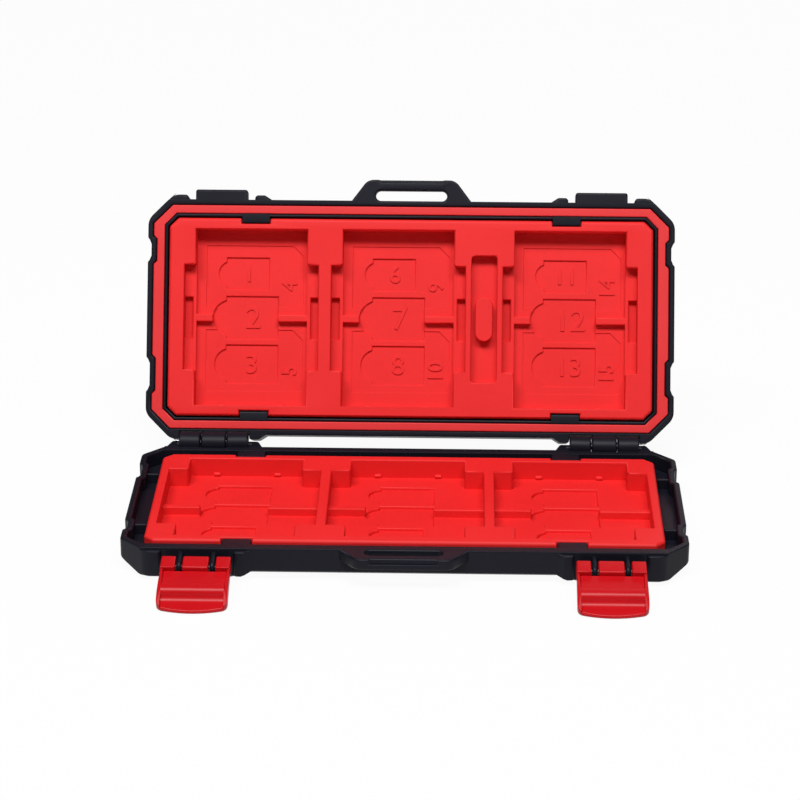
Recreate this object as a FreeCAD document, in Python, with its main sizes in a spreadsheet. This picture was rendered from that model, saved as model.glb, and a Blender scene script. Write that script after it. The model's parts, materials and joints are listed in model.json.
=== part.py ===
"""Memory card case: a hinged two-part shell with card trays, a seal and two latches.

Millimetres. +X to the right, +Y to the rear, +Z up. The origin is the centre of the flat bottom.
The lid is drawn closed, on top of the base, and then swung open about the hinge pins.
The latches are drawn closed, upright in front of the lid, and then swung open about their pins.
"""
import FreeCAD
import Part
import Sketcher
import math
import os
from types import SimpleNamespace

SIZES = {
    # Cards and the pockets that hold them
    "sd_length": 32.5,
    "sd_width": 24.8,
    "sd_ridge": 2.1,
    "cf_length": 43.4,
    "cf_width": 36.7,
    "cf_rest": 3.3,
    "xqd_length": 39.2,
    "xqd_width": 30.7,
    "xqd_depth": 3.6,
    "mouth_round": 0.9,
    "nano_length": 12.4,
    "nano_width": 9.4,
    "nano_shift": -1.35,
    "nano_place": -13.2,
    "nano_grip": 2.4,
    "micro_length": 15.2,
    "micro_width": 12.6,
    "micro_shift": 0.0,
    "micro_place": -0.2,
    "micro_grip": 3.85,
    "chip_length": 15.2,
    "chip_width": 11.3,
    "chip_shift": 0.05,
    "chip_place": 13.45,
    "chip_grip": 3.35,
    "grip_margin": 1.05,
    "pocket_depth": 5.6,
    "small_step": 0.9,
    "step_length": 28.5,
    "step_width": 18.0,
    "step_shift": 0.75,
    "step_place": 12.4,
    "step_corner": 3.0,
    "step_depth": 0.3,
    "finger_length": 12.0,
    "finger_width": 2.3,
    "nub_place": 8.7,
    "nub_length": 1.8,
    "nub_radius": 0.6,
    "nub_above": 0.55,
    # Trays
    "tray_floor": 1.3,
    "tray_end": 2.65,
    "tray_side": 3.15,
    "tray_corner": 2.6,
    "tray_edge": 0.6,
    "bay_wall": 2.95,
    "lid_bay_wall": 3.8,
    "slot_wall": 1.75,
    "slot_length": 37.1,
    "slot_width": 7.45,
    "slot_depth": 3.4,
    "slot_corner": 0.9,
    "peg_length": 13.0,
    "peg_width": 5.1,
    "peg_below": 0.4,
    # Shell halves
    "base_wall": 2.7,
    "base_end_wall": 1.8,
    "base_floor": 1.6,
    "trough_end": 4.5,
    "trough_side": 2.75,
    "corner_leg": 6.0,
    "corner_fill": 0.5,
    "base_corner_round": 2.5,
    "lid_corner_round": 4.5,
    "bottom_edge": 1.4,
    "front_slope_depth": 5.2,
    "front_slope_rise": 2.7,
    "front_slope_half": 48.0,
    "front_slope_run": 7.1,
    "end_slope_rise": 3.6,
    "end_slope_run": 8.0,
    "lid_wall": 1.6,
    "lid_top": 1.8,
    "lid_space": 4.0,
    "lid_edge": 2.0,
    "closed_gap": 0.4,
    "groove_depth": 1.0,
    "groove_front_place": -19.5,
    "groove_front_length": 5.0,
    "groove_rear_place": 17.0,
    "groove_rear_length": 8.0,
    "groove_edge": 0.8,
    "panel_inset": 9.0,
    "panel_depth": 0.5,
    "rib_thickness": 0.9,
    "rib_gap": 0.4,
    "rib_below": 0.5,
    "web_thickness": 1.0,
    "web_pitch": 28.4,
    "end_web_pitch": 26.5,
    "rest_pitch": 13.6,
    "trough_rib_front": -16.8,
    "trough_rib_rear": 17.3,
    "trough_rib_below": 1.2,
    "fit_gap": 0.15,
    # Seal
    "seal_below": 0.3,
    "seal_height": 2.0,
    "seal_gap": 0.1,
    # Snap tabs
    "tab_from_end": 25.3,
    "tab_width": 8.2,
    "tab_reach": 1.5,
    "tab_height": 1.5,
    "tab_below": 0.2,
    # Carry handle, one half on each shell
    "handle_foot": 17.45,
    "handle_top": 12.8,
    "handle_round": 3.5,
    "handle_reach": 6.2,
    "handle_height": 3.2,
    "handle_slot": 10.4,
    "handle_slot_width": 3.05,
    "handle_recess": 8.7,
    "handle_recess_depth": 0.6,
    "handle_recess_height": 1.5,
    # Hinges
    "hinge_from_end": 20.2,
    "hinge_reach": 2.35,
    "hinge_middle": 7.2,
    "hinge_outer": 6.4,
    "knuckle_radius": 3.0,
    "knuckle_gap": 0.25,
    "sweep_gap": 0.3,
    "pin_radius": 1.0,
    "pin_hold": 0.02,
    "pin_run": 0.05,
    "gusset_outer": 2.4,
    "gusset_inner": 2.9,
    "gusset_run": 1.7,
    "gusset_reach": 4.9,
    "gusset_below": 0.3,
    "gusset_tip": 1.6,
    "gusset_height": 7.0,
    "ear_reach": 1.4,
    "ear_inner": 2.9,
    "ear_run": 2.2,
    "ear_below": 0.6,
    "ear_foot": 1.5,
    "ear_round": 1.0,
    "ear_corner_round": 4.0,
    "lid_open": 115.1,
    # Latches
    "latch_from_end": 21.45,
    "latch_width": 18.7,
    "latch_flare": 0.1,
    "latch_side_gap": 0.35,
    "latch_reach": 4.17,
    "latch_drop": 3.72,
    "latch_knuckle": 2.2,
    "latch_knuckle_top": 2.8,
    "latch_inner": 0.8,
    "latch_plate": 2.0,
    "latch_ridge_start": 9.5,
    "latch_ridge": 2.6,
    "latch_ridge_round": 2.0,
    "latch_rim": 1.0,
    "latch_rim_height": 0.9,
    "latch_scoop_place": 13.3,
    "latch_scoop": 0.4,
    "latch_scoop_round": 2.0,
    "latch_length": 17.8,
    "latch_lip": 0.6,
    "latch_tip": 1.1,
    "latch_belly": 2.2,
    "latch_tip_bow": 27.0,
    "latch_tip_round": 2.3,
    "latch_open": 102.8,
    "lug_place": 4.45,
    "lug_thickness": 1.4,
    "lug_slot": 1.9,
    "lug_radius": 2.0,
    "lug_below": 1.0,
    "lug_foot": 3.5,
    "latch_pin_radius": 0.75,
    "keeper_width": 15.2,
    "keeper_reach": 2.9,
    "keeper_gap": 0.3,
}

# How far a cutting tool reaches past a face, and how far an added block reaches into its wall
OVERSHOOT = 1.0
SEAT = 0.5
# How much an octagon's corner leg, and the start of a 45 degree flank, move for each unit of wall
CORNER_INSET = 2 - math.sqrt(2)
FLANK_INSET = math.sqrt(2) - 1
# Card bays in each tray
BAYS = 3
# Counts of the webs along the lid's sides, at each end, and of the ribs under its roof
LONG_WEBS = 5
END_WEBS = 3
TRAY_RESTS = 4
# Distance below which two points count as the same place
SAME = 1e-6
# Most that a fillet may take of the wall it lies on: in a bay, and at the near and far end of an ear
BAY_SHARE = 0.45
EAR_NEAR_SHARE = 0.38
EAR_FAR_SHARE = 0.6


class Size:
    """A length in millimetres, with the sheet expression that gives it."""

    def __init__(self, value, text):
        self.value = value
        self.text = text

    @staticmethod
    def of(number):
        return number if isinstance(number, Size) else Size(float(number), repr(float(number)))

    def join(self, sign, other, value):
        return Size(value, f"({self.text} {sign} {other.text})")

    def __add__(self, other):
        other = Size.of(other)
        return self.join("+", other, self.value + other.value)

    def __sub__(self, other):
        other = Size.of(other)
        return self.join("-", other, self.value - other.value)

    def __mul__(self, other):
        other = Size.of(other)
        return self.join("*", other, self.value * other.value)

    def __truediv__(self, other):
        other = Size.of(other)
        return self.join("/", other, self.value / other.value)

    def __radd__(self, other):
        return Size.of(other) + self

    def __rsub__(self, other):
        return Size.of(other) - self

    def __rmul__(self, other):
        return Size.of(other) * self

    def __neg__(self):
        return Size.of(-1) * self


doc = FreeCAD.newDocument("memory_card_case")
sheet = doc.addObject("Spreadsheet::Sheet", "Sizes")
for row, (alias, number) in enumerate(SIZES.items(), start=1):
    sheet.set(f"A{row}", alias)
    sheet.set(f"B{row}", str(number))
    sheet.setAlias(f"B{row}", alias)
doc.recompute()
s = SimpleNamespace(**{alias: Size(float(number), f"Sizes.{alias}") for alias, number in SIZES.items()})

# Sizes that follow from the driving ones
tray_half_x = (3 * s.cf_length + 2 * s.bay_wall) / 2 + s.tray_end
bay_half_y = s.sd_width + s.sd_ridge / 2
tray_half_y = bay_half_y + s.tray_side
tray_height = s.pocket_depth + s.small_step + s.tray_floor
half_x = tray_half_x + s.trough_end + s.base_end_wall
half_y = tray_half_y + s.trough_side + s.base_wall
rim = s.base_floor + tray_height
lid_rim = rim + s.closed_gap
lid_ceiling = lid_rim + tray_height + s.lid_space
lid_roof = lid_ceiling + s.lid_top
rib_inner_x = tray_half_x + s.rib_gap
rib_inner_y = tray_half_y + s.rib_gap
rib_outer_x = rib_inner_x + s.rib_thickness
rib_outer_y = rib_inner_y + s.rib_thickness
seat_height = lid_rim + s.seal_below + s.seal_height
hinge_x = half_x - s.hinge_from_end
hinge_y = half_y + s.hinge_reach
hinge_z = rim + s.closed_gap / 2
latch_x = half_x - s.latch_from_end
latch_y = -half_y - s.latch_reach
latch_z = rim - s.latch_drop
tab_x = tray_half_x - s.tab_from_end
keeper_top = latch_z + s.latch_ridge_start - s.keeper_gap
inner_leg = s.corner_leg + s.corner_fill


def bind(item, name, value):
    """Tie a property of a document object to the sheet."""
    item.setExpression(name, Size.of(value).text)


def box(name, x, y, z):
    """Block between two values along each axis."""
    item = doc.addObject("Part::Box", name)
    for length, side, (low, high) in zip(("Length", "Width", "Height"), "xyz", (x, y, z)):
        bind(item, length, Size.of(high) - low)
        bind(item, f"Placement.Base.{side}", low)
    return item


def rod(name, radius, x, y, z):
    """Round bar along X, between two values of x."""
    item = doc.addObject("Part::Cylinder", name)
    item.Placement = FreeCAD.Placement(FreeCAD.Vector(), FreeCAD.Rotation(FreeCAD.Vector(0, 1, 0), 90))
    bind(item, "Radius", radius)
    bind(item, "Height", Size.of(x[1]) - x[0])
    for side, value in zip("xyz", (x[0], y, z)):
        bind(item, f"Placement.Base.{side}", value)
    return item


def post(name, radius, x, y, z):
    """Round bar along Z, between two values of z."""
    item = doc.addObject("Part::Cylinder", name)
    bind(item, "Radius", radius)
    bind(item, "Height", Size.of(z[1]) - z[0])
    for side, value in zip("xyz", (x, y, z[0])):
        bind(item, f"Placement.Base.{side}", value)
    return item


def drum(name, radius, x, y, z):
    """Round bar along Y, between two values of y."""
    item = doc.addObject("Part::Cylinder", name)
    item.Placement = FreeCAD.Placement(FreeCAD.Vector(), FreeCAD.Rotation(FreeCAD.Vector(1, 0, 0), 90))
    bind(item, "Radius", radius)
    bind(item, "Height", Size.of(y[1]) - y[0])
    for side, value in zip("xyz", (x, y[1], z)):
        bind(item, f"Placement.Base.{side}", value)
    return item


def draw(sketch, points):
    """Closed outline whose corners are held by dimensions from the sketch's origin."""
    places = [(Size.of(across), Size.of(up)) for across, up in points]
    corners = [FreeCAD.Vector(across.value, up.value, 0) for across, up in places]
    count = len(corners)
    for index in range(count):
        sketch.addGeometry(Part.LineSegment(corners[index], corners[(index + 1) % count]), False)
    for index in range(count):
        sketch.addConstraint(Sketcher.Constraint("Coincident", index, 2, (index + 1) % count, 1))
    for index, place in enumerate(places):
        for kind, value in zip(("DistanceX", "DistanceY"), place):
            number = sketch.addConstraint(Sketcher.Constraint(kind, -1, 1, index, 1, value.value))
            sketch.setExpression(f"Constraints[{number}]", value.text)


def extrude(name, sketch, length):
    item = doc.addObject("Part::Extrusion", name)
    item.Base = sketch
    item.DirMode = "Normal"
    item.Solid = True
    bind(item, "LengthFwd", length)
    return item


def prism(name, points, z):
    """Upright prism on an outline in plan."""
    sketch = doc.addObject("Sketcher::SketchObject", name + "_plan")
    draw(sketch, points)
    bind(sketch, "Placement.Base.z", z[0])
    return extrude(name, sketch, Size.of(z[1]) - z[0])


def bar(name, points, x):
    """Bar along X with a section drawn in y and z."""
    sketch = doc.addObject("Sketcher::SketchObject", name + "_section")
    sketch.Placement = FreeCAD.Placement(FreeCAD.Vector(), FreeCAD.Rotation(0.5, 0.5, 0.5, 0.5))
    draw(sketch, points)
    bind(sketch, "Placement.Base.x", x[0])
    return extrude(name, sketch, Size.of(x[1]) - x[0])


def panel(name, points, y):
    """Prism along Y on an outline drawn in x and z."""
    sketch = doc.addObject("Sketcher::SketchObject", name + "_front")
    sketch.Placement = FreeCAD.Placement(FreeCAD.Vector(), FreeCAD.Rotation(FreeCAD.Vector(1, 0, 0), 90))
    draw(sketch, points)
    bind(sketch, "Placement.Base.y", y[1])
    return extrude(name, sketch, Size.of(y[1]) - y[0])


def fuse(name, items):
    if len(items) == 1:
        return items[0]
    item = doc.addObject("Part::MultiFuse", name)
    item.Shapes = items
    item.Refine = True
    return item


def cut(name, body, tools):
    item = doc.addObject("Part::Cut", name)
    item.Base = body
    item.Tool = fuse(name + "_tools", tools)
    item.Refine = True
    return item


def common(name, first, second):
    item = doc.addObject("Part::Common", name)
    item.Base = first
    item.Tool = second
    item.Refine = True
    return item


def edges_at(item, **places):
    """Numbers of the straight or round edges whose ends all lie at the given x, y or z."""
    doc.recompute()
    found = []
    for number, edge in enumerate(item.Shape.Edges, start=1):
        pairs = [(getattr(vertex.Point, axis), place.value) for vertex in edge.Vertexes
                 for axis, place in places.items()]
        if all(abs(found_at - wanted) < SAME for found_at, wanted in pairs):
            found.append(number)
    return found


def dress(kind, name, item, numbers, size):
    """Chamfer or fillet of one size along chosen edges."""
    edged = doc.addObject(kind, name)
    edged.Base = item
    edged.Edges = [(number, size.value, size.value) for number in numbers]
    return edged


def chamfer(name, item, numbers, leg):
    return dress("Part::Chamfer", name, item, numbers, leg)


def fillet(name, item, numbers, radius):
    return dress("Part::Fillet", name, item, numbers, radius)


def within(radius, room):
    """A fillet's radius, or the room that its wall gives where that is less."""
    most = abs(room.value)
    return radius if radius.value < most else Size.of(most)


def swing(item, y, z, angle):
    """Turn a finished piece about an axis along X."""
    turn = FreeCAD.Rotation(FreeCAD.Vector(1, 0, 0), angle)
    item.Placement = FreeCAD.Placement(FreeCAD.Vector(), turn, FreeCAD.Vector(0, y.value, z.value))


def finish(item, label):
    item.Label = label
    return item


def span(side, low, high):
    """A range of x on the right (side 1), or its mirror image on the left (side -1)."""
    return (low, high) if side > 0 else (-high, -low)


def octagon(x, y, leg):
    """Rectangle with its corners cut off."""
    return [(x, y - leg), (x - leg, y), (leg - x, y), (-x, y - leg),
            (-x, leg - y), (leg - x, -y), (x - leg, -y), (x, leg - y)]


def inset_leg(leg, inset):
    """Corner leg of an octagon moved inwards by an even wall."""
    return leg - inset * CORNER_INSET


def shell_block(name, z, radius):
    """Outer block of a shell half, its corners rounded towards the two ends."""
    block = prism(name + "_octagon", octagon(half_x, half_y, s.corner_leg), z)
    corners = []
    for side in (-1, 1):
        for turn in (-1, 1):
            corners += edges_at(block, x=side * half_x, y=turn * (half_y - s.corner_leg))
    return fillet(name, block, corners, radius)


def grooves(name, z):
    """Upright grooves in the shell's two ends, with sloped flanks and blunt inner corners."""
    items = []
    rows = (("front", s.groove_front_place, s.groove_front_length),
            ("rear", s.groove_rear_place, s.groove_rear_length))
    for side in (-1, 1):
        for word, place, length in rows:
            bottom = side * (half_x - s.groove_depth)
            out = side * (half_x + OVERSHOOT)
            near = length / 2
            far = near + s.groove_depth + OVERSHOOT
            points = [(bottom, place - near), (bottom, place + near), (out, place + far), (out, place - far)]
            tool = f"{name}_{word}_{'left' if side < 0 else 'right'}"
            block = prism(tool + "_block", points, z)
            inner = edges_at(block, x=bottom, y=place - near) + edges_at(block, x=bottom, y=place + near)
            items.append(chamfer(tool, block, inner, s.groove_edge))
    return items


def grooved(x, y, leg, depth):
    """Octagon whose ends step inwards behind the shell's grooves."""
    def end(side):
        points = []
        rows = ((s.groove_rear_place, s.groove_rear_length), (s.groove_front_place, s.groove_front_length))
        for place, length in rows:
            near = length / 2 + (half_x - x) * FLANK_INSET
            far = near + depth
            for along, step in ((far, 0), (near, 1), (-near, 1), (-far, 0)):
                points.append((side * (x - depth * step), place + along))
        return points if side > 0 else points[::-1]
    return ([(x, y - leg)] + end(1) + [(x, leg - y), (x - leg, -y), (leg - x, -y), (-x, leg - y)]
            + end(-1) + [(-x, y - leg), (leg - x, y), (x - leg, y)])


def handle(name, z):
    """Half of the carry handle: a flat loop on the front wall, with rounded shoulders."""
    root = SEAT - half_y
    tip = -half_y - s.handle_reach
    points = [(s.handle_foot, root), (s.handle_foot, -half_y), (s.handle_top, tip), (-s.handle_top, tip),
              (-s.handle_foot, -half_y), (-s.handle_foot, root)]
    plate = prism(name + "_plate", points, z)
    shoulders = edges_at(plate, x=s.handle_top, y=tip) + edges_at(plate, x=-s.handle_top, y=tip)
    return fillet(name, plate, shoulders, s.handle_round)


def handle_recess(name, z):
    """Shallow recess along the handle's front face, beside the plane where its halves meet."""
    tip = -half_y - s.handle_reach
    half = s.handle_recess
    out = half + s.handle_recess_depth + OVERSHOOT
    points = [(-half, tip + s.handle_recess_depth), (half, tip + s.handle_recess_depth),
              (out, tip - OVERSHOOT), (-out, tip - OVERSHOOT)]
    return prism(name, points, z)


def handle_slot(name, z):
    """Finger slot of the handle, with round ends."""
    radius = s.handle_slot_width / 2
    middle = -half_y - radius
    reach = s.handle_slot - radius
    items = [box(name + "_run", (-reach, reach), (middle - radius, middle + radius), z)]
    for word, side in (("left", -1), ("right", 1)):
        items.append(post(f"{name}_end_{word}", radius, side * reach, middle, z))
    return items


def ears(name, turn, middle, near, z):
    """Raised blocks beside each latch (turn -1, front) or hinge (turn 1, rear).

    The inner ones slope back to the wall, the outer ones run into the shell's corner.
    """
    items = []
    wall = turn * half_y
    root = turn * (half_y - SEAT)
    tip = turn * (half_y + s.ear_reach)
    inner = middle - near
    outer = middle + near
    corner = half_x - s.corner_leg
    rows = (("inner", inner, inner - s.ear_inner, inner - s.ear_inner - s.ear_run, s.ear_round),
            ("outer", outer, corner - s.ear_reach, corner, s.ear_corner_round))
    for side in (-1, 1):
        for word, start, flat, foot, far_round in rows:
            points = [(side * start, root), (side * start, tip), (side * flat, tip),
                      (side * foot, wall), (side * foot, root)]
            ear = f"{name}_{word}_{'left' if side < 0 else 'right'}"
            block = prism(ear + "_block", points, z)
            near_round = within(s.ear_round, EAR_NEAR_SHARE * (flat - start))
            end_round = within(far_round, EAR_FAR_SHARE * (flat - start) / FLANK_INSET)
            near_done = fillet(ear + "_near", block, edges_at(block, x=side * start, y=tip), near_round)
            items.append(fillet(ear, near_done, edges_at(near_done, x=side * flat, y=tip), end_round))
    return items


def snap_tabs(name, z, wall_y):
    """Tabs that reach over the long edges of a tray, from the wall behind them."""
    items = []
    for side in (-1, 1):
        for turn in (-1, 1):
            word = f"{'left' if side < 0 else 'right'}_{'front' if turn < 0 else 'rear'}"
            x = (side * tab_x - s.tab_width / 2, side * tab_x + s.tab_width / 2)
            y = span(turn, tray_half_y - s.tab_reach, wall_y)
            items.append(box(f"{name}_{word}", x, y, z))
    return items


def hinge_rods(name, spans, radius):
    """Round bars about the hinge axis, at the same spans of both hinges."""
    items = []
    for side in (-1, 1):
        for number, (low, high) in enumerate(spans):
            word = f"{name}_{number}_{'left' if side < 0 else 'right'}"
            items.append(rod(word, radius, span(side, hinge_x + low, hinge_x + high), hinge_y, hinge_z))
    return items


def hinge_webs(name, spans, z):
    """Webs that join hinge knuckles to the rear wall."""
    items = []
    for side in (-1, 1):
        for number, (low, high) in enumerate(spans):
            word = f"{name}_{number}_{'left' if side < 0 else 'right'}"
            items.append(box(word, span(side, hinge_x + low, hinge_x + high), (half_y - SEAT, hinge_y), z))
    return items


knuckle_edge = s.hinge_middle / 2
hinge_half = knuckle_edge + s.hinge_outer
lid_knuckle = [(-knuckle_edge, knuckle_edge)]
lid_knuckle_room = [(-knuckle_edge - s.knuckle_gap, knuckle_edge + s.knuckle_gap)]
base_knuckles = [(-hinge_half, -knuckle_edge - s.knuckle_gap), (knuckle_edge + s.knuckle_gap, hinge_half)]
base_knuckle_room = [(-hinge_half - s.knuckle_gap, -knuckle_edge), (knuckle_edge, hinge_half + s.knuckle_gap)]
pin_span = [(-hinge_half - OVERSHOOT, hinge_half + OVERSHOOT)]


def rear_gussets(name):
    """Side cheeks of the base's hinges. The lid's rear ears come down over them when it is open."""
    items = []
    root = half_y - SEAT
    tip = half_y + s.gusset_reach
    top = rim - s.gusset_below
    section = [(root, top), (tip, top), (tip, top - s.gusset_tip), (half_y, rim - s.gusset_height),
               (root, rim - s.gusset_height)]
    for side in (-1, 1):
        for end, turn, width in (("inner", -1, s.gusset_inner), ("outer", 1, s.gusset_outer)):
            word = f"{name}_{end}_{'left' if side < 0 else 'right'}"
            start = hinge_x + turn * hinge_half
            flat = start + turn * width
            foot = flat + turn * s.gusset_run
            plan = [(side * start, root), (side * start, tip), (side * flat, tip),
                    (side * foot, half_y), (side * foot, root)]
            cheek = bar(word + "_cheek", section, span(side * turn, turn * start, turn * foot))
            items.append(common(word, cheek, prism(word + "_taper", plan, (0, rim))))
    return items


def latch_lugs(name):
    """Two thin lugs for each latch pin, on the base's front wall."""
    items = []
    holes = []
    root = SEAT - half_y
    points = [(root, rim - s.lug_below), (latch_y, latch_z + s.lug_radius), (latch_y, latch_z - s.lug_radius),
              (root, latch_z - s.lug_foot)]
    for side in (-1, 1):
        word = "left" if side < 0 else "right"
        for number, turn in enumerate((-1, 1)):
            middle = side * latch_x + turn * s.lug_place
            x = (middle - s.lug_thickness / 2, middle + s.lug_thickness / 2)
            items.append(bar(f"{name}_web_{word}_{number}", points, x))
            items.append(rod(f"{name}_eye_{word}_{number}", s.lug_radius, x, latch_y, latch_z))
        x = (side * latch_x - s.latch_width / 2, side * latch_x + s.latch_width / 2)
        holes.append(rod(f"{name}_bore_{word}", s.latch_pin_radius + s.pin_hold, x, latch_y, latch_z))
    return items, holes


def trough_ribs(name):
    """Thin cross ribs in the open troughs at the two ends of the base."""
    items = []
    for side in (-1, 1):
        x = span(side, tray_half_x + s.fit_gap, half_x - s.base_end_wall + SEAT)
        for word, place in (("front", s.trough_rib_front), ("rear", s.trough_rib_rear)):
            y = (place - s.web_thickness / 2, place + s.web_thickness / 2)
            z = (s.base_floor - SEAT, rim - s.trough_rib_below)
            items.append(box(f"{name}_{word}_{'left' if side < 0 else 'right'}", x, y, z))
    return items


def front_slope(name):
    """Wedge that lifts the lower front edge between the latches, with slanted ends."""
    rise = s.front_slope_rise
    depth = s.front_slope_depth
    section = [(-half_y - depth, 2 * rise), (2 * depth - half_y, -rise), (-half_y - depth, -rise)]
    low = s.front_slope_half + s.front_slope_run
    high = s.front_slope_half - 2 * s.front_slope_run
    front = [(-low, -rise), (low, -rise), (high, 2 * rise), (-high, 2 * rise)]
    wedge = bar(name + "_wedge", section, (-low, low))
    return common(name, wedge, panel(name + "_ends", front, (-half_y - depth, 2 * depth - half_y)))


def end_slopes(name):
    """Wedges that lift the lower edges of the base's two ends."""
    items = []
    rise = s.end_slope_rise
    run = s.end_slope_run
    y = (-half_y - s.handle_reach, half_y + s.handle_reach)
    for word, side in (("left", -1), ("right", 1)):
        outer = side * (half_x + run)
        points = [(outer, 2 * rise), (side * (half_x - 2 * run), -rise), (outer, -rise)]
        items.append(panel(f"{name}_{word}", points, y))
    return items


def snap_posts(name, z, wall_y):
    """Upright backs of the snap tabs, beside the tray's edge."""
    items = []
    for side in (-1, 1):
        for turn in (-1, 1):
            word = f"{'left' if side < 0 else 'right'}_{'front' if turn < 0 else 'rear'}"
            x = (side * tab_x - s.tab_width / 2, side * tab_x + s.tab_width / 2)
            items.append(box(f"{name}_{word}", x, span(turn, tray_half_y + s.fit_gap, wall_y), z))
    return items


def base_shell():
    block = shell_block("base_block", (0, rim), s.base_corner_round)
    block = chamfer("base_edged", block, edges_at(block, z=Size.of(0)), s.bottom_edge)
    wall = s.base_wall
    tray_room = octagon(tray_half_x + s.fit_gap, half_y - wall, s.tray_corner)
    leg = inner_leg - wall + s.base_end_wall * FLANK_INSET
    trough_room = grooved(half_x - s.base_end_wall, half_y - wall, leg, s.groove_depth)
    rooms = [prism("base_room", tray_room, (s.base_floor, rim + OVERSHOOT)),
             prism("base_trough_room", trough_room, (s.base_floor + s.end_slope_rise, rim + OVERSHOOT))]
    hollow = cut("base_hollow", block, rooms + grooves("base_groove", (-OVERSHOOT, rim + OVERSHOOT)))
    sweeps = hinge_rods("base_sweep", lid_knuckle_room, s.knuckle_radius + s.sweep_gap)
    notched = cut("base_notched", hollow, sweeps)
    lugs, lug_bores = latch_lugs("latch_lug")
    top = rim - s.tab_below
    beside_latch = s.latch_width / 2 + s.latch_side_gap
    solid = fuse("base_solid", [notched] + lugs + trough_ribs("trough_rib") + rear_gussets("gusset")
                 + ears("base_ear", -1, latch_x, beside_latch, (s.ear_foot, rim - s.ear_below))
                 + snap_tabs("base_tab", (top - s.tab_height, top), half_y - wall + SEAT)
                 + snap_posts("base_post", (s.base_floor - SEAT, top), half_y - wall + SEAT)
                 + hinge_rods("base_knuckle", base_knuckles, s.knuckle_radius)
                 + hinge_webs("base_web", base_knuckles, (hinge_z - s.knuckle_radius, hinge_z))
                 + [handle("base_handle", (rim - s.handle_height, rim))])
    tools = hinge_rods("base_bore", pin_span, s.pin_radius + s.pin_hold) + lug_bores
    tools += handle_slot("base_handle_slot", (rim - s.handle_height - OVERSHOOT, rim + OVERSHOOT))
    tools.append(handle_recess("base_handle_recess", (rim - s.handle_recess_height, rim + OVERSHOOT)))
    tools += [front_slope("base_front_slope")] + end_slopes("base_end_slope")
    return finish(cut("BaseShell", solid, tools), "base_shell")


def row_of(count, pitch):
    """Places of an evenly spaced row about zero."""
    return [(index - (count - 1) / 2) * pitch for index in range(count)]


def lid_webs(name):
    """Short cross webs between the lid's wall and its inner rib, which the seal lies on."""
    items = []
    z = (seat_height, lid_ceiling + SEAT)
    thin = s.web_thickness / 2
    for number, x in enumerate(row_of(LONG_WEBS, s.web_pitch)):
        for word, turn in (("front", -1), ("rear", 1)):
            y = span(turn, rib_outer_y - SEAT, half_y - s.lid_wall + SEAT)
            items.append(box(f"{name}_{number}_{word}", (x - thin, x + thin), y, z))
    for number, y in enumerate(row_of(END_WEBS, s.end_web_pitch)):
        for word, side in (("left", -1), ("right", 1)):
            x = span(side, rib_outer_x - SEAT, half_x - s.lid_wall - s.groove_depth + SEAT)
            items.append(box(f"{name}_end_{number}_{word}", x, (y - thin, y + thin), z))
    return items


def tray_rests(name):
    """Long ribs under the lid's roof that the tray lies against."""
    items = []
    thin = s.web_thickness / 2
    z = (lid_rim + tray_height, lid_ceiling + SEAT)
    for number, y in enumerate(row_of(TRAY_RESTS, s.rest_pitch)):
        items.append(box(f"{name}_{number}", (-tab_x, tab_x), (y - thin, y + thin), z))
    return items


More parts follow.
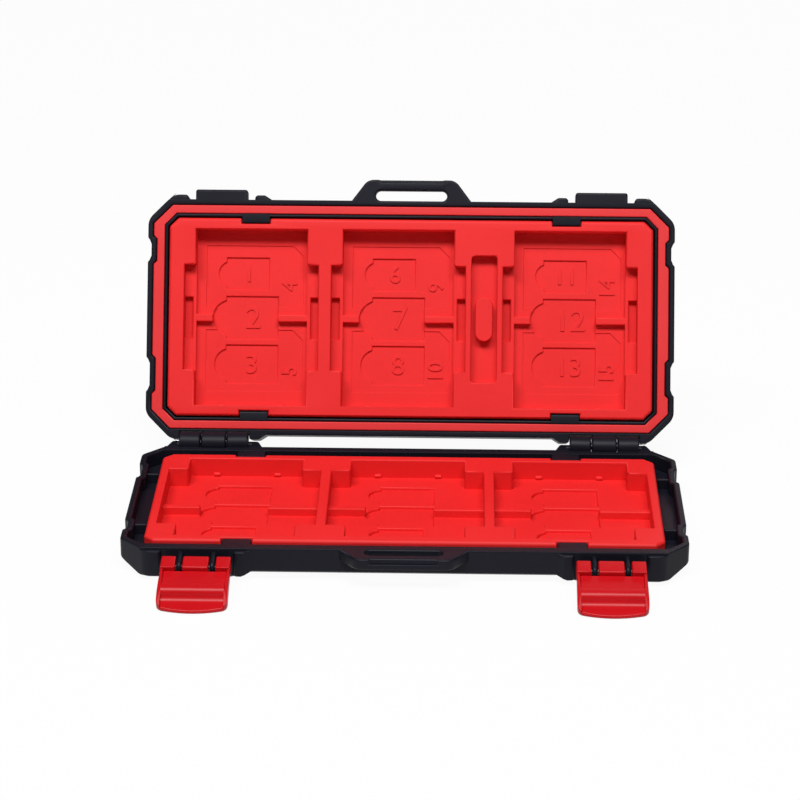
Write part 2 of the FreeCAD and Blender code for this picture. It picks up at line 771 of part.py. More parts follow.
def lid_shell():
    block = shell_block("lid_block", (lid_rim, lid_roof), s.lid_corner_round)
    block = chamfer("lid_edged", block, edges_at(block, z=lid_roof), s.lid_edge)
    wall = s.lid_wall
    inside = grooved(half_x - wall, half_y - wall, inset_leg(inner_leg, wall), s.groove_depth)
    room = prism("lid_room", inside, (lid_rim - OVERSHOOT, lid_ceiling))
    inset = s.panel_inset
    roof_panel = prism("lid_panel", octagon(half_x - inset, half_y - inset, s.corner_leg),
                       (lid_roof - s.panel_depth, lid_roof + OVERSHOOT))
    grooves_z = (lid_rim - OVERSHOOT, lid_roof + OVERSHOOT)
    hollow = cut("lid_hollow", block, [room, roof_panel] + grooves("lid_groove", grooves_z))
    rib_z = (lid_rim + s.rib_below, lid_ceiling + SEAT)
    rib_corner = inset_leg(s.tray_corner, -s.rib_gap)
    outer_corner = inset_leg(rib_corner, -s.rib_thickness)
    rib = cut("lid_rib", prism("lid_rib_outer", octagon(rib_outer_x, rib_outer_y, outer_corner), rib_z),
              [prism("lid_rib_inner", octagon(rib_inner_x, rib_inner_y, rib_corner), (lid_rim, lid_roof))])
    keepers = []
    for side in (-1, 1):
        x = (side * latch_x - s.keeper_width / 2, side * latch_x + s.keeper_width / 2)
        y = (-half_y - s.keeper_reach, SEAT - half_y)
        keepers.append(box(f"keeper_{'left' if side < 0 else 'right'}", x, y, (lid_rim, keeper_top)))
    low = lid_rim + s.tab_below
    ear_top = lid_roof - s.lid_edge
    beside_latch = s.latch_width / 2 + s.latch_side_gap
    loop = handle("lid_handle", (lid_rim, lid_rim + s.handle_height))
    solid = fuse("lid_solid", [hollow, rib, loop] + keepers
                 + lid_webs("lid_web") + tray_rests("tray_rest")
                 + ears("lid_ear", -1, latch_x, beside_latch, (lid_rim + s.ear_below, ear_top))
                 + ears("lid_rear_ear", 1, hinge_x, hinge_half, (lid_rim, ear_top))
                 + snap_tabs("lid_tab", (low, low + s.tab_height), rib_outer_y)
                 + snap_posts("lid_post", (low, lid_rim + s.rib_below + SEAT), rib_outer_y))
    sweeps = hinge_rods("lid_sweep", base_knuckle_room, s.knuckle_radius + s.sweep_gap)
    opened = cut("lid_opened", solid, sweeps)
    hinged = fuse("lid_hinged", [opened] + hinge_rods("lid_knuckle", lid_knuckle, s.knuckle_radius)
                  + hinge_webs("lid_web_hinge", lid_knuckle, (hinge_z, hinge_z + s.knuckle_radius)))
    tools = hinge_rods("lid_bore", pin_span, s.pin_radius + s.pin_run)
    tools += handle_slot("lid_handle_slot", (lid_rim - OVERSHOOT, lid_rim + s.handle_height + OVERSHOOT))
    tools.append(handle_recess("lid_handle_recess", (lid_rim - OVERSHOOT, lid_rim + s.handle_recess_height)))
    item = finish(cut("LidShell", hinged, tools), "lid_shell")
    swing(item, hinge_y, hinge_z, -s.lid_open.value)
    return item


def lid_seal():
    """Flat seal ring between the lid's wall and its inner rib."""
    z = (lid_rim + s.seal_below, seat_height)
    inset = s.lid_wall + s.seal_gap
    outline = grooved(half_x - inset, half_y - inset, inset_leg(inner_leg, inset), s.groove_depth)
    outer = prism("seal_outer", outline, z)
    corner = inset_leg(s.tray_corner, -s.rib_gap - s.rib_thickness - s.seal_gap)
    inner = prism("seal_inner", octagon(rib_outer_x + s.seal_gap, rib_outer_y + s.seal_gap, corner),
                  (lid_rim, lid_roof))
    item = finish(cut("LidSeal", outer, [inner]), "lid_seal")
    swing(item, hinge_y, hinge_z, -s.lid_open.value)
    return item


def depths(face, facing, upper, lower):
    """Range of z between two depths under a tray's face, which looks up (facing 1) or down (facing -1)."""
    return (face - lower, face - upper) if facing > 0 else (face + upper, face + lower)


def deep(face, facing, depth):
    """Range of z of a recess in a tray's face."""
    return depths(face, facing, -OVERSHOOT, depth)


def small_pocket(name, bay, shift, place, length, width, grip, z):
    """Recess for one small card, with a wide round finger notch at its left end."""
    left = bay + shift - length / 2
    radius = width / 2 - s.grip_margin
    return [box(name, (left, left + length), (place - width / 2, place + width / 2), z),
            post(name + "_grip", radius, left + radius - grip, place, z)]


def card_steps(name, bay, z):
    """Shallow steps in the outlines of a bay's two cards, each with one corner cut."""
    items = []
    left = bay + s.step_shift - s.step_length / 2
    right = left + s.step_length
    corner = s.step_corner
    for word, turn in (("front", -1), ("rear", 1)):
        front = turn * s.step_place - s.step_width / 2
        rear = front + s.step_width
        points = [(left, front), (right - corner, front), (right, front + corner),
                  (right, rear), (left, rear)]
        items.append(prism(f"{name}_{word}", points, z))
    return items


def bay_mouth(name, bay, length, width, depth, rest, face, facing):
    """Opening of one bay, with the ridge between the two cards left standing as a rest for the large card."""
    x = s.sd_length / 2
    long = length / 2
    wide = width / 2
    places = [(x, wide), (x, bay_half_y), (-x, bay_half_y), (-x, wide), (-long, wide), (-long, -wide),
              (-x, -wide), (-x, -bay_half_y), (x, -bay_half_y), (x, -wide), (long, -wide), (long, wide)]
    outline = [(bay + across, along) for across, along in places]
    block = prism(name + "_block", outline, deep(face, facing, depth))
    corners = []
    for side in (-1, 1):
        for turn in (-1, 1):
            corners += edges_at(block, x=bay + side * x, y=turn * wide)
    mouth = fillet(name + "_round", block, corners, within(s.mouth_round, BAY_SHARE * (long - x)))
    ridge_x = (bay - long - OVERSHOOT, bay + long + OVERSHOOT)
    ridge_y = (-s.sd_ridge / 2, s.sd_ridge / 2)
    ridge_z = depths(face, facing, rest, s.pocket_depth + OVERSHOOT)
    return cut(name, mouth, [box(name + "_ridge", ridge_x, ridge_y, ridge_z)])


def bay_recesses(name, bay, length, width, depth, rest, face, facing):
    """All recesses of one bay: two cards end to end, one large card over them, three small ones below."""
    items = [bay_mouth(name + "_mouth", bay, length, width, depth, rest, face, facing)]
    x = (bay - s.sd_length / 2, bay + s.sd_length / 2)
    pocket = deep(face, facing, s.pocket_depth)
    for word, turn in (("front", -1), ("rear", 1)):
        items.append(box(f"{name}_card_{word}", x, span(turn, s.sd_ridge / 2, bay_half_y), pocket))
    small = deep(face, facing, s.pocket_depth + s.small_step)
    rows = (("nano", s.nano_shift, s.nano_place, s.nano_length, s.nano_width, s.nano_grip),
            ("micro", s.micro_shift, s.micro_place, s.micro_length, s.micro_width, s.micro_grip),
            ("chip", s.chip_shift, s.chip_place, s.chip_length, s.chip_width, s.chip_grip))
    for word, shift, place, long, wide, grip in rows:
        items += small_pocket(f"{name}_{word}", bay, shift, place, long, wide, grip, small)
    return items


def finger_slots(name, bay, length, face, facing):
    """Deeper slots at both ends of the large card, to lift it out."""
    items = []
    for word, side in (("left", -1), ("right", 1)):
        low, high = span(side, length / 2 - s.finger_width, length / 2)
        y = (-s.finger_length / 2, s.finger_length / 2)
        items.append(box(f"{name}_{word}", (bay + low, bay + high), y, deep(face, facing, s.pocket_depth)))
    return items


def nubs(name, bay, face, facing):
    """Two small bumps at the foot of a bay's rear wall, which hold the card in."""
    items = []
    z = face - facing * (s.pocket_depth - s.nub_above)
    for word, side in (("left", -1), ("right", 1)):
        middle = bay + side * s.nub_place
        x = (middle - s.nub_length / 2, middle + s.nub_length / 2)
        items.append(rod(f"{name}_{word}", s.nub_radius, x, bay_half_y, z))
    return items


def tab_notches(name, face, facing):
    """Notches in a tray's long edges that the snap tabs reach into."""
    items = []
    depth = s.tab_below + s.tab_height + s.fit_gap
    for side in (-1, 1):
        for turn in (-1, 1):
            word = f"{'left' if side < 0 else 'right'}_{'front' if turn < 0 else 'rear'}"
            reach = s.tab_width / 2 + s.fit_gap
            x = (side * tab_x - reach, side * tab_x + reach)
            y = span(turn, tray_half_y - s.tab_reach - s.fit_gap, tray_half_y + OVERSHOOT)
            items.append(box(f"{name}_{word}", x, y, deep(face, facing, depth)))
    return items


def tray_block(name, z, face):
    """Outer block of a tray, with a chamfer along the edge of its face."""
    block = prism(name + "_octagon", octagon(tray_half_x, tray_half_y, s.tray_corner), z)
    return chamfer(name, block, edges_at(block, z=face), s.tray_edge)


def base_insert():
    block = tray_block("base_tray_block", (s.base_floor, rim), rim)
    tools = tab_notches("base_tray_notch", rim, 1)
    bumps = []
    for number, bay in enumerate(row_of(BAYS, s.cf_length + s.bay_wall)):
        tools += bay_recesses(f"base_bay_{number}", bay, s.cf_length, s.cf_width, s.pocket_depth, s.cf_rest,
                              rim, 1)
        bumps += nubs(f"base_nub_{number}", bay, rim, 1)
    tray = cut("base_tray", block, tools)
    return finish(fuse("BaseInsert", [tray] + bumps), "base_insert")


def pin_slot(name, middle):
    """Upright slot with round corners in the lid's tray, with a raised peg in it."""
    half = s.slot_width / 2
    long = s.slot_length / 2
    room = deep(lid_rim, -1, s.slot_depth)
    block = box(name + "_block", (middle - half, middle + half), (-long, long), room)
    corners = []
    for side in (-1, 1):
        for turn in (-1, 1):
            corners += edges_at(block, x=middle + side * half, y=turn * long)
    slot = fillet(name + "_room", block, corners, s.slot_corner)
    radius = s.peg_width / 2
    reach = s.peg_length / 2 - radius
    peg_z = (lid_rim + s.peg_below, lid_rim + s.slot_depth + OVERSHOOT)
    pegs = [box(name + "_peg", (middle - radius, middle + radius), (-reach, reach), peg_z)]
    for word, turn in (("front", -1), ("rear", 1)):
        pegs.append(post(f"{name}_peg_{word}", radius, middle, turn * reach, peg_z))
    return cut(name, slot, pegs)


def lid_insert():
    block = tray_block("lid_tray_block", (lid_rim, lid_rim + tray_height), lid_rim)
    row = BAYS * s.xqd_length + s.lid_bay_wall + 2 * s.slot_wall + s.slot_width
    first = (s.xqd_length - row) / 2
    second = first + s.xqd_length + s.lid_bay_wall
    slot = second + s.xqd_length / 2 + s.slot_wall + s.slot_width / 2
    tools = tab_notches("lid_tray_notch", lid_rim, -1) + [pin_slot("pin_slot", slot)]
    bumps = []
    for number, bay in enumerate((first, second, -first)):
        tools += bay_recesses(f"lid_bay_{number}", bay, s.xqd_length, s.xqd_width, s.xqd_depth, s.xqd_depth,
                              lid_rim, -1)
        tools += finger_slots(f"lid_finger_{number}", bay, s.xqd_length, lid_rim, -1)
        tools += card_steps(f"lid_step_{number}", bay, deep(lid_rim, -1, s.pocket_depth + s.step_depth))
        bumps += nubs(f"lid_nub_{number}", bay, lid_rim, -1)
    tray = cut("lid_tray", block, tools)
    item = finish(fuse("LidInsert", [tray] + bumps), "lid_insert")
    swing(item, hinge_y, hinge_z, -s.lid_open.value)
    return item


def latch_window(name, middle):
    """Front outline of a latch: slightly flared sides, a bowed tip and round corners."""
    foot = s.latch_width / 2
    half = s.latch_width / 2 + s.latch_flare
    low = latch_z - s.latch_knuckle - OVERSHOOT
    flare_z = latch_z + s.latch_ridge_start
    tip = latch_z + s.latch_length
    y = (latch_y - s.latch_reach, latch_y + s.latch_reach)
    outline = [(middle - foot, low), (middle + foot, low), (middle + foot, latch_z + s.latch_knuckle),
               (middle + half, flare_z), (middle + half, tip + OVERSHOOT), (middle - half, tip + OVERSHOOT),
               (middle - half, flare_z), (middle - foot, latch_z + s.latch_knuckle)]
    bow = drum(name + "_bow", s.latch_tip_bow, middle, y, tip - s.latch_tip_bow)
    bowed = common(name + "_bowed", panel(name + "_outline", outline, y), bow)
    corners = []
    for x in (middle - half, middle + half):
        sides = edges_at(bowed, x=x)
        heights = {number: bowed.Shape.Edges[number - 1].CenterOfMass.z for number in sides}
        corners.append(max(sides, key=heights.get))
    return fillet(name, bowed, corners, s.latch_tip_round)


def latch(side):
    """Latch: three knuckles on a plate with side rims, a hook ridge and a scooped finger tab."""
    word = "left" if side < 0 else "right"
    name = f"latch_{word}"
    middle = side * latch_x
    half = s.latch_width / 2 + s.latch_flare
    x = (middle - half, middle + half)
    knuckle = s.latch_knuckle
    knuckle_top = latch_z + s.latch_knuckle_top
    inner = latch_y + s.latch_inner
    outer = inner - s.latch_plate
    hook = latch_y + knuckle
    rim_top = inner + s.latch_rim_height
    scoop = latch_y - s.latch_scoop
    scoop_z = latch_z + s.latch_scoop_place
    belly = latch_y - s.latch_belly
    lip = latch_y - s.latch_lip
    tip = latch_z + s.latch_length
    ridge_low = latch_z + s.latch_ridge_start
    ridge_high = ridge_low + s.latch_ridge
    back = [(lip, tip), (lip - s.latch_tip, tip), (belly, scoop_z), (outer, ridge_low), (outer, latch_z)]
    face = [(inner, latch_z), (inner, ridge_low), (hook, ridge_low), (hook, ridge_high), (scoop, scoop_z)]
    plate = bar(name + "_plate", face + back, (middle - half + s.latch_rim, middle + half - s.latch_rim))
    plate = fillet(name + "_ridged", plate, edges_at(plate, y=hook, z=ridge_high), s.latch_ridge_round)
    plate = fillet(name + "_scooped", plate, edges_at(plate, y=scoop, z=scoop_z), s.latch_scoop_round)
    side_face = [(rim_top, latch_z), (rim_top, ridge_high)]
    rims = [bar(f"{name}_rim_{number}", side_face + back, (low, low + s.latch_rim))
            for number, low in enumerate((middle - half, middle + half - s.latch_rim))]
    heel = box(name + "_heel", x, (latch_y, hook), (latch_z - knuckle, knuckle_top))
    barrel = rod(name + "_barrel", knuckle, x, latch_y, latch_z)
    blank = fuse(name + "_blank", [plate, heel, barrel] + rims)
    shaped = common(name + "_shaped", blank, latch_window(name + "_window", middle))
    tools = [rod(name + "_bore", s.latch_pin_radius + s.pin_run, x, latch_y, latch_z)]
    for number, turn in enumerate((-1, 1)):
        lug = middle + turn * s.lug_place
        slot_x = (lug - s.lug_slot / 2, lug + s.lug_slot / 2)
        slot_y = (outer - OVERSHOOT, hook + OVERSHOOT)
        slot_z = (latch_z - knuckle - OVERSHOOT, knuckle_top)
        tools.append(box(f"{name}_slot_{number}", slot_x, slot_y, slot_z))
    item = finish(cut(f"Latch{word.title()}", shaped, tools), name)
    swing(item, latch_y, latch_z, s.latch_open.value)
    return item


def latch_pin(side):
    word = "left" if side < 0 else "right"
    reach = s.latch_width / 2 - s.fit_gap
    x = (side * latch_x - reach, side * latch_x + reach)
    pin = rod(f"LatchPin{word.title()}", s.latch_pin_radius, x, latch_y, latch_z)
    return finish(pin, f"latch_pin_{word}")


def hinge_pin(side):
    word = "left" if side < 0 else "right"
    x = span(side, hinge_x - hinge_half, hinge_x + hinge_half)
    pin = rod(f"HingePin{word.title()}", s.pin_radius, x, hinge_y, hinge_z)
    return finish(pin, f"hinge_pin_{word}")


pieces = [base_shell(), lid_shell(), base_insert(), lid_insert(), lid_seal()]
for hand in (-1, 1):
    pieces += [latch(hand), latch_pin(hand), hinge_pin(hand)]
doc.recompute()

for thing in doc.Objects:
    if "Invalid" in thing.State or "Error" in thing.State:
        raise RuntimeError(f"{thing.Name} failed: {thing.State}")
for piece in pieces:
    if piece.Shape.isNull() or not piece.Shape.isValid():
        raise RuntimeError(f"{piece.Label} has no valid shape")

os.makedirs("parts", exist_ok=True)
for piece in pieces:
    piece.Shape.exportStep(f"parts/{piece.Label}.step")
    solids = len(piece.Shape.Solids)
    print(f"{piece.Label}: {solids} solid, {piece.Shape.Volume:.1f} cubic mm, box {piece.Shape.BoundBox}")
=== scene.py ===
"""Looks of the memory card case: soft edges, materials, raised slot numbers, light and camera. Metres."""
import bmesh
import bpy
import json
import math
from mathutils import Matrix, Vector
from mathutils.geometry import delaunay_2d_cdt

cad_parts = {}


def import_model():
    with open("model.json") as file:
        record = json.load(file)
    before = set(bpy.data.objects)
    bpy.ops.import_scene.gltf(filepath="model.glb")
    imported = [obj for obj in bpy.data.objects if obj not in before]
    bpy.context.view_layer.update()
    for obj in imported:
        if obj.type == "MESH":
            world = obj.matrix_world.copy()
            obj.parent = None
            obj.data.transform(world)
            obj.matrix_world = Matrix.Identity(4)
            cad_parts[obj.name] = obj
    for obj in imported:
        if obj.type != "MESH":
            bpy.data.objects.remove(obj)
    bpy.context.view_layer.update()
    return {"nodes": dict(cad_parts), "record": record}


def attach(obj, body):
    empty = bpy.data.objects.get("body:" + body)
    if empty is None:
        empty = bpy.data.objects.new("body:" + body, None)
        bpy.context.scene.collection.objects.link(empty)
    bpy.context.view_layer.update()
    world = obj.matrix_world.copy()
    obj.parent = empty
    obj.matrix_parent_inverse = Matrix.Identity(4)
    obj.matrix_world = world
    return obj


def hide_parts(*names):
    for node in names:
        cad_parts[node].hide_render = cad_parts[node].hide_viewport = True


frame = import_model()
MM = 0.001

# Camera, in the place that shows the case as the photograph does
CAMERA_PLACE = Vector((13.51, -729.78, 339.95)) * MM
CAMERA_AIM = Vector((-1.82, 0.0, 38.78)) * MM
CAMERA_ROLL = math.radians(0.133)
CAMERA_LENS = 129.02
SENSOR_WIDTH = 36.0

# Moulded plastics: the colour and its darker mottling, the roughness and how much it varies, the size and
# the depth of the grain, and the specular level
PLASTICS = {
    "shell_black": dict(
        colour=(0.0075, 0.008, 0.0145), tint=(0.006, 0.0065, 0.0115),
        roughness=0.46, spread=0.06, grain=0.25 * MM, grain_depth=0.35, specular=0.16,
    ),
    "tray_red": dict(
        colour=(0.76, 0.018, 0.019), tint=(0.72, 0.016, 0.017),
        roughness=0.55, spread=0.05, grain=0.35 * MM, grain_depth=0.15, specular=0.25,
    ),
    "seal_red": dict(
        colour=(0.70, 0.026, 0.029), tint=(0.66, 0.024, 0.026),
        roughness=0.48, spread=0.05, grain=0.4 * MM, grain_depth=0.15, specular=0.35,
    ),
    "latch_red": dict(
        colour=(0.52, 0.005, 0.009), tint=(0.48, 0.004, 0.008),
        roughness=0.34, spread=0.04, grain=0.5 * MM, grain_depth=0.1, specular=0.22,
    ),
}
# Noise of the mottling, the part of it that the colours spread over, and noise and height of the grain
MOTTLE = dict(Scale=60.0, Detail=4.0, Roughness=0.6)
MOTTLE_ENDS = (0.3, 0.7)
GRAIN = dict(Detail=3.0, Roughness=0.55)
GRAIN_HEIGHT = 0.05 * MM
# Steel of the pins: noise of its finish, least and most roughness, colour
STEEL = "pin_steel"
STEEL_NOISE = dict(Scale=1500.0, Detail=2.0)
STEEL_ROUGHNESS = (0.4, 0.55)
STEEL_COLOUR = (0.15, 0.15, 0.16, 1)

# Moulded nodes, the material slot of each and the widest radius of its edges
FINISHES = (
    ("base_shell", "shell_black", 0.6 * MM),
    ("lid_shell", "shell_black", 0.6 * MM),
    ("base_insert", "tray_red", 0.4 * MM),
    ("lid_insert", "tray_red", 0.4 * MM),
    ("lid_seal", "seal_red", 0.3 * MM),
    ("latch_left", "latch_red", 0.45 * MM),
    ("latch_right", "latch_red", 0.45 * MM),
)
# Least angle of an edge that is rounded, and of one that stays sharp in the shading
EDGE_ANGLE = math.radians(28)
SMOOTH_ANGLE = math.radians(50)
EDGE_SEGMENTS = 2
# Points that count as one, and the most that faces may turn to count as one flat face
WELD = 0.002 * MM
FLAT_ANGLE = math.radians(0.6)
# Most that rounding takes of a face's clear width, and of an edge's length at each of its ends
EDGE_SHARE = 0.4
CORNER_SHARE = 0.45
# Fitting of the rounding to every edge's length: most rounds, what may be left over, straightest corner
FIT_ROUNDS = 80
FIT_SLACK = 0.0001 * MM
LEAST_SINE = math.sin(math.radians(1))
# Faces that the rounding makes cross themselves: fewest corners, and how much more than its own area such
# a face's triangles cover, as a share and as an area
CROSS_CORNERS = 5
CROSS_SHARE = 0.001
CROSS_AREA = 0.0005 * MM * MM
# Cutting of such a face, in millimetres: all triangles out to its hull, and points that count as one
CUT_TO_HULL = 0
CUT_MERGE = 0.0001

# Raised numbers in the lid's pockets, in millimetres from each bay's centre as the open lid is seen:
# place across and up, depth of the pocket's floor under the tray's face, height of the digits, and
# quarter turns
BAY_CENTRES = (-46.57, -3.57, 46.57)
NUMBER_PLACES = (
    (-1.1, 13.1, 6.5, 5.0, 0),
    (0.3, 0.0, 6.5, 6.4, 0),
    (0.0, -13.6, 6.5, 5.6, 0),
    (11.2, 9.8, 5.9, 4.4, 1),
    (11.2, -15.2, 5.9, 4.4, 1),
)
# Height of the lid tray's face in the closed case
LID_FACE = 9.8
# How far the digits stand out and reach into the floor, the rounding of their edges, and how far their
# outline is widened
NUMBER_RISE = 0.32
NUMBER_SEAT = 0.06
NUMBER_EDGE = 0.05
NUMBER_WEIGHT = 0.08
# A digit's height as a share of the letter size, and the steps of its curves
DIGIT_SHARE = 0.7
DIGIT_STEPS = 3
# Half turn about the long axis, so that the numbers face down from the closed lid
FACING_DOWN = Matrix.Diagonal((1, -1, -1, 1))

# Floor: half its width, grey and roughness under the shadow, and the share that shows plain white
FLOOR_REACH = 4.0
FLOOR_COLOUR = (0.7, 0.7, 0.7, 1)
FLOOR_ROUGHNESS = 0.9
FLOOR_WHITE = 0.95
WHITE = (1, 1, 1, 1)
# Lamps: name, place, aim, width and depth, watts
LAMPS = (
    ("overhead", (-0.08, -0.49, 1.09), (0, 0, 0.02), (1.1, 0.3), 19.0),
    ("rear", (0.3, 1.2, 0.8), (0, 0, 0.04), (0.9, 0.6), 3.0),
)
WORLD_STRENGTH = 0.03


def node_body(node):
    """Name of the CAD body that carries a node."""
    for name, nodes in frame["record"]["behaviour"]["bodies"].items():
        if node in nodes:
            return name
    return None


def new_object(name, data):
    """New object in the scene for a mesh, lamp or camera."""
    item = bpy.data.objects.new(name, data)
    bpy.context.collection.objects.link(item)
    return item


class Nodes:
    """Short way to build a node material. In names of inputs, an underscore stands for a space."""

    def __init__(self, name):
        self.material = bpy.data.materials.new(name)
        self.material.use_nodes = True
        self.tree = self.material.node_tree
        self.shader = self.tree.nodes["Principled BSDF"]

    def add(self, kind, **values):
        """New node. A value goes to the input of that name, or else to the node itself."""
        node = self.tree.nodes.new(kind)
        for key, value in values.items():
            socket = key.replace("_", " ")
            if socket in node.inputs:
                node.inputs[socket].default_value = value
            else:
                setattr(node, key, value)
        return node

    def link(self, source, target):
        self.tree.links.new(source, target)

    def set(self, **values):
        """Set the shader's own inputs."""
        for key, value in values.items():
            self.shader.inputs[key.replace("_", " ")].default_value = value

    def noise(self, **values):
        """Noise over the object's own coordinates."""
        place = self.add("ShaderNodeTexCoord")
        pattern = self.add("ShaderNodeTexNoise", **values)
        self.link(place.outputs["Object"], pattern.inputs["Vector"])
        return pattern.outputs["Fac"]

    def uneven_gloss(self, pattern, least, most):
        """Let the roughness follow a noise."""
        gloss = self.add("ShaderNodeMapRange", To_Min=least, To_Max=most)
        self.link(pattern, gloss.inputs["Value"])
        self.link(gloss.outputs["Result"], self.shader.inputs["Roughness"])


def moulded(name, colour, tint, roughness, spread, grain, grain_depth, specular):
    """Moulded plastic or rubber: faint mottling of the colour and gloss over a fine grain."""
    build = Nodes(name)
    mottle = build.noise(**MOTTLE)
    shade = build.add("ShaderNodeValToRGB")
    for stop, position, shown in zip(shade.color_ramp.elements, MOTTLE_ENDS, (tint, colour)):
        stop.position = position
        stop.color = (*shown, 1)
    build.link(mottle, shade.inputs["Fac"])
    build.link(shade.outputs["Color"], build.shader.inputs["Base Color"])
    build.uneven_gloss(mottle, roughness - spread, roughness + spread)
    bump = build.add("ShaderNodeBump", Strength=grain_depth, Distance=GRAIN_HEIGHT)
    build.link(build.noise(Scale=1.0 / grain, **GRAIN), bump.inputs["Height"])
    build.link(bump.outputs["Normal"], build.shader.inputs["Normal"])
    build.set(Specular_IOR_Level=specular)
    return build.material


def steel(name):
    """Dull steel with a fine uneven gloss."""
    build = Nodes(name)
    build.uneven_gloss(build.noise(**STEEL_NOISE), *STEEL_ROUGHNESS)
    build.set(Base_Color=STEEL_COLOUR, Metallic=1.0)
    return build.material


MATERIALS = {slot: moulded(slot, **values) for slot, values in PLASTICS.items()}
MATERIALS[STEEL] = steel(STEEL)


def edge_room(edge, sharp):
    """Least clear width of the two faces beside an edge, measured square to it."""
    line = edge.verts[1].co - edge.verts[0].co
    length = line.length
    along = line / length
    middle = (edge.verts[0].co + edge.verts[1].co) / 2
    room = math.inf
    for face in edge.link_faces:
        inward = face.normal.cross(along)
        for other in face.edges:
            if other is edge or other not in sharp:
                continue
            ends = [vert.co - middle for vert in other.verts]
            places = sorted(end.dot(along) for end in ends)
            if places[1] < -length / 2 + WELD or places[0] > length / 2 - WELD:
                continue
            depth = max(abs(end.dot(inward)) for end in ends)
            if depth > WELD:
                room = min(room, depth)
    return room


def corner_list(shape, widths):
    """Every corner of a face beside a rounded edge: edge, neighbour, sine, cosine and room on the edge."""
    corners = []
    for face in shape.faces:
        for corner in face.loops:
            pair = (corner.edge, corner.link_loop_prev.edge)
            if not any(edge in widths for edge in pair):
                continue
            angle = corner.calc_angle()
            sine = math.sin(angle) if corner.is_convex else -math.sin(angle)
            if abs(sine) < LEAST_SINE:
                continue
            for edge, other in (pair, pair[::-1]):
                corners.append((edge, other, sine, math.cos(angle), CORNER_SHARE * edge.calc_length()))
    return corners


def fit_widths(corners, widths):
    """Narrow the widths until the rounding at both ends of every edge leaves some of that edge.

    An edge is shortened by its own width at a reflex corner, by its neighbour's at an obtuse one, and by
    both elsewhere.
    """
    for _ in range(FIT_ROUNDS):
        steady = True
        for edge, other, sine, cosine, room in corners:
            own = widths.get(edge, 0)
            beside = widths.get(other, 0)
            taken = (beside + own * cosine) / sine
            if taken < room + FIT_SLACK:
                continue
            steady = False
            if sine < 0:
                widths[edge] = (room * sine - beside) / cosine
            elif cosine < 0:
                widths[other] = room * sine - own * cosine
            else:
                for each in (edge, other):
                    if each in widths:
                        widths[each] *= room / taken
        if steady:
            return


def crossed_faces(mesh):
    """Faces whose outline crosses itself, told by triangles that cover more than the face does."""
    mesh.calc_loop_triangles()
    cover = [0.0] * len(mesh.polygons)
    for triangle in mesh.loop_triangles:
        cover[triangle.polygon_index] += triangle.area
    crossed = []
    for face in mesh.polygons:
        most = face.area * (1 + CROSS_SHARE) + CROSS_AREA
        if len(face.vertices) >= CROSS_CORNERS and cover[face.index] > most:
            crossed.append(face.index)
    return crossed


def times_round(spot, plan):
    """How many times an outline goes round a spot, counted counter-clockwise."""
    times = 0
    for start, end in zip(plan, plan[1:] + plan[:1]):
        side = (end - start).cross(spot - start)
        if start.y <= spot.y < end.y and side > 0:
            times += 1
        elif end.y <= spot.y < start.y and side < 0:
            times -= 1
    return times


def mend_faces(mesh):
    """Cut each face that crosses itself into triangles that lie inside its outline."""
    shape = bmesh.new()
    shape.from_mesh(mesh)
    shape.faces.ensure_lookup_table()
    crossed = [shape.faces[index] for index in crossed_faces(mesh)]
    for face in crossed:
        corners = [loop.vert for loop in face.loops]
        to_plane = face.normal.to_track_quat("Z", "Y").to_matrix().transposed()
        spots = [to_plane @ corner.co / MM for corner in corners]
        level = sum(spot.z for spot in spots) / len(spots)
        plan = [spot.to_2d() for spot in spots]
        found = delaunay_2d_cdt(plan, [], [list(range(len(plan)))], CUT_TO_HULL, CUT_MERGE)
        points, triangles, origins = found[0], found[2], found[3]
        verts = []
        for point, origin in zip(points, origins):
            if origin:
                verts.append(corners[origin[0]])
            else:
                verts.append(shape.verts.new(to_plane.transposed() @ Vector((*point, level)) * MM))
        for triangle in triangles:
            trio = [verts[index] for index in triangle]
            middle = sum((points[index] for index in triangle), Vector((0, 0))) / len(triangle)
            inside = times_round(middle, plan) > 0
            if inside and len(set(trio)) == len(trio) and not shape.faces.get(trio):
                shape.faces.new(trio, face)
    bmesh.ops.delete(shape, geom=crossed, context="FACES_ONLY")
    shape.to_mesh(mesh)
    shape.free()


def rounded_off(mesh, radius):
    """Mesh with its marked edges rounded, each as far as it is marked, in place of the mesh given."""
    piece = new_object("rounding", mesh)
    round_off = piece.modifiers.new("round_edges", "BEVEL")
    round_off.limit_method = "WEIGHT"
    round_off.width = radius
    round_off.segments = EDGE_SEGMENTS
    round_off.use_clamp_overlap = False
    round_off.miter_outer = "MITER_SHARP"
    shown = piece.evaluated_get(bpy.context.evaluated_depsgraph_get())
    rounded = bpy.data.meshes.new_from_object(shown)
    bpy.data.objects.remove(piece)
    bpy.data.meshes.remove(mesh)
    mend_faces(rounded)
    return rounded


def mark_edges(shape, radius):
    """Mark each outer edge with the share of the radius that it has room for."""
    weights = shape.edges.layers.float.new("bevel_weight_edge")
    paired = [edge for edge in shape.edges if len(edge.link_faces) == 2]
    sharp = {edge for edge in paired if edge.calc_face_angle(0) > EDGE_ANGLE}
    widths = {}
    for edge in sharp:
        if edge.is_convex:
            widths[edge] = min(radius, EDGE_SHARE * edge_room(edge, sharp))
    fit_widths(corner_list(shape, widths), widths)
    for edge, width in widths.items():
        edge[weights] = width / radius


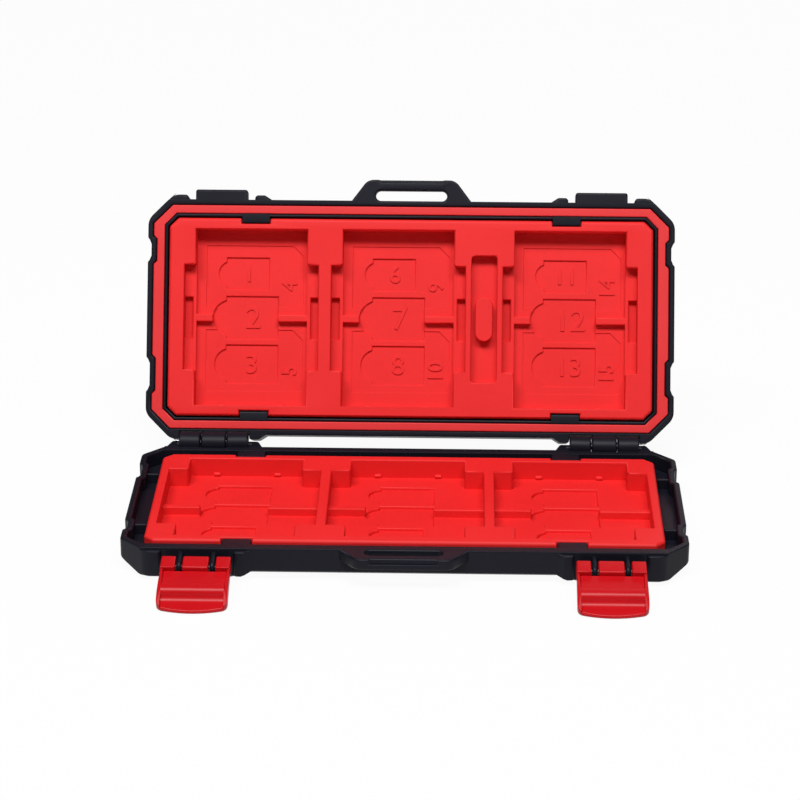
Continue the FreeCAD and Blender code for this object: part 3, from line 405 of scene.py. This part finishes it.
def softened(node, slot, radius):
    """Copy of a CAD node whose outer edges are rounded, standing in its place."""
    mesh = frame["nodes"][node].data.copy()
    shape = bmesh.new()
    shape.from_mesh(mesh)
    bmesh.ops.remove_doubles(shape, verts=shape.verts, dist=WELD)
    bmesh.ops.dissolve_limit(shape, angle_limit=FLAT_ANGLE, verts=shape.verts, edges=shape.edges)
    shape.normal_update()
    mark_edges(shape, radius)
    for face in shape.faces:
        face.smooth = True
    shape.to_mesh(mesh)
    shape.free()
    if "custom_normal" in mesh.attributes:
        mesh.attributes.remove(mesh.attributes["custom_normal"])
    mesh = rounded_off(mesh, radius)
    mesh.set_sharp_from_angle(angle=SMOOTH_ANGLE)
    mesh.materials.clear()
    mesh.materials.append(MATERIALS[slot])
    piece = new_object(node + "_moulded", mesh)
    even = piece.modifiers.new("even_shading", "WEIGHTED_NORMAL")
    even.keep_sharp = True
    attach(piece, node_body(node))
    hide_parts(node)


def lid_turn():
    """Turn from the closed lid, where the numbers are placed, to the open lid at rest."""
    for joint in frame["record"]["behaviour"]["joints"]:
        if joint["child"] == "lid":
            hinge = Vector(joint["pos_m"])
            angle = -math.radians(joint["range_deg"][1])
            turn = Matrix.Rotation(angle, 4, Vector(joint["axis"]))
            return Matrix.Translation(hinge) @ turn @ Matrix.Translation(-hinge)
    return None


def raised_number(shape, word, height, place):
    """Add the digits of one number, standing on the floor of a pocket, to a mesh being built."""
    font = bpy.data.curves.new("digits", "FONT")
    font.body = word
    font.size = height / DIGIT_SHARE
    font.align_x = "CENTER"
    font.align_y = "CENTER"
    font.extrude = (NUMBER_RISE + NUMBER_SEAT) / 2
    font.bevel_depth = NUMBER_EDGE
    font.offset = NUMBER_WEIGHT - NUMBER_EDGE
    font.resolution_u = DIGIT_STEPS
    holder = bpy.data.objects.new("digits", font)
    digits = bpy.data.meshes.new_from_object(holder)
    digits.transform(place)
    shape.from_mesh(digits)
    bpy.data.objects.remove(holder)
    bpy.data.meshes.remove(digits)
    bpy.data.curves.remove(font)


def lid_numbers():
    """All the numbers in the lid as one piece, counted from the top of each bay, bay by bay."""
    shape = bmesh.new()
    to_rest = lid_turn() @ Matrix.Scale(MM, 4)
    places = [(centre, *place) for centre in BAY_CENTRES for place in NUMBER_PLACES]
    for count, (centre, across, up, depth, height, quarter) in enumerate(places, start=1):
        level = LID_FACE + depth - (NUMBER_RISE - NUMBER_SEAT) / 2
        spot = Matrix.Translation((centre + across, -up, level))
        turn = Matrix.Rotation(quarter * math.pi / 2, 4, "Z")
        raised_number(shape, str(count), height, to_rest @ spot @ FACING_DOWN @ turn)
    mesh = bpy.data.meshes.new("lid_numbers")
    shape.to_mesh(mesh)
    shape.free()
    mesh.materials.append(MATERIALS["tray_red"])
    piece = new_object("lid_numbers", mesh)
    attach(piece, "lid")


def floor():
    """Pale floor that shows white and keeps a soft shadow."""
    mesh = bpy.data.meshes.new("floor")
    corners = [(x * FLOOR_REACH, y * FLOOR_REACH, 0) for x, y in ((-1, -1), (1, -1), (1, 1), (-1, 1))]
    mesh.from_pydata(corners, [], [(0, 1, 2, 3)])
    piece = new_object("floor", mesh)
    build = Nodes("floor_white")
    build.set(Base_Color=FLOOR_COLOUR, Roughness=FLOOR_ROUGHNESS)
    glow = build.add("ShaderNodeEmission", Color=WHITE, Strength=1.0)
    seen = build.add("ShaderNodeLightPath")
    either = build.add("ShaderNodeMath", operation="MAXIMUM")
    build.link(seen.outputs["Is Camera Ray"], either.inputs[0])
    build.link(seen.outputs["Is Glossy Ray"], either.inputs[1])
    part = build.add("ShaderNodeMath", operation="MULTIPLY")
    build.link(either.outputs[0], part.inputs[0])
    part.inputs[1].default_value = FLOOR_WHITE
    mix = build.add("ShaderNodeMixShader")
    build.link(part.outputs[0], mix.inputs["Fac"])
    build.link(build.shader.outputs[0], mix.inputs[1])
    build.link(glow.outputs[0], mix.inputs[2])
    build.link(mix.outputs[0], build.tree.nodes["Material Output"].inputs["Surface"])
    mesh.materials.append(build.material)


def softbox(name, place, aim, size, power):
    """Broad lamp that looks at a point."""
    light = bpy.data.lights.new(name, "AREA")
    light.shape = "RECTANGLE"
    light.size = size[0]
    light.size_y = size[1]
    light.energy = power
    lamp = new_object(name, light)
    lamp.location = place
    lamp.rotation_euler = (Vector(aim) - Vector(place)).to_track_quat("-Z", "Y").to_euler()


def world():
    """Faint even light from all round."""
    sky = bpy.data.worlds.new("studio")
    bpy.context.scene.world = sky
    sky.use_nodes = True
    back = sky.node_tree.nodes["Background"]
    back.inputs["Color"].default_value = WHITE
    back.inputs["Strength"].default_value = WORLD_STRENGTH


def camera():
    """Camera at the photograph's viewing angle."""
    data = bpy.data.cameras.new("camera")
    data.lens = CAMERA_LENS
    data.sensor_width = SENSOR_WIDTH
    view = new_object("camera", data)
    view.location = CAMERA_PLACE
    turn = (CAMERA_AIM - CAMERA_PLACE).to_track_quat("-Z", "Y").to_matrix().to_4x4()
    view.rotation_euler = (turn @ Matrix.Rotation(CAMERA_ROLL, 4, "Z")).to_euler()
    bpy.context.scene.camera = view


for node, slot, radius in FINISHES:
    softened(node, slot, radius)
for node, piece in frame["nodes"].items():
    if "pin" in node:
        piece.data.materials.clear()
        piece.data.materials.append(MATERIALS[STEEL])
lid_numbers()
floor()
world()
for lamp in LAMPS:
    softbox(*lamp)
camera()
bpy.context.scene.view_settings.view_transform = "Standard"
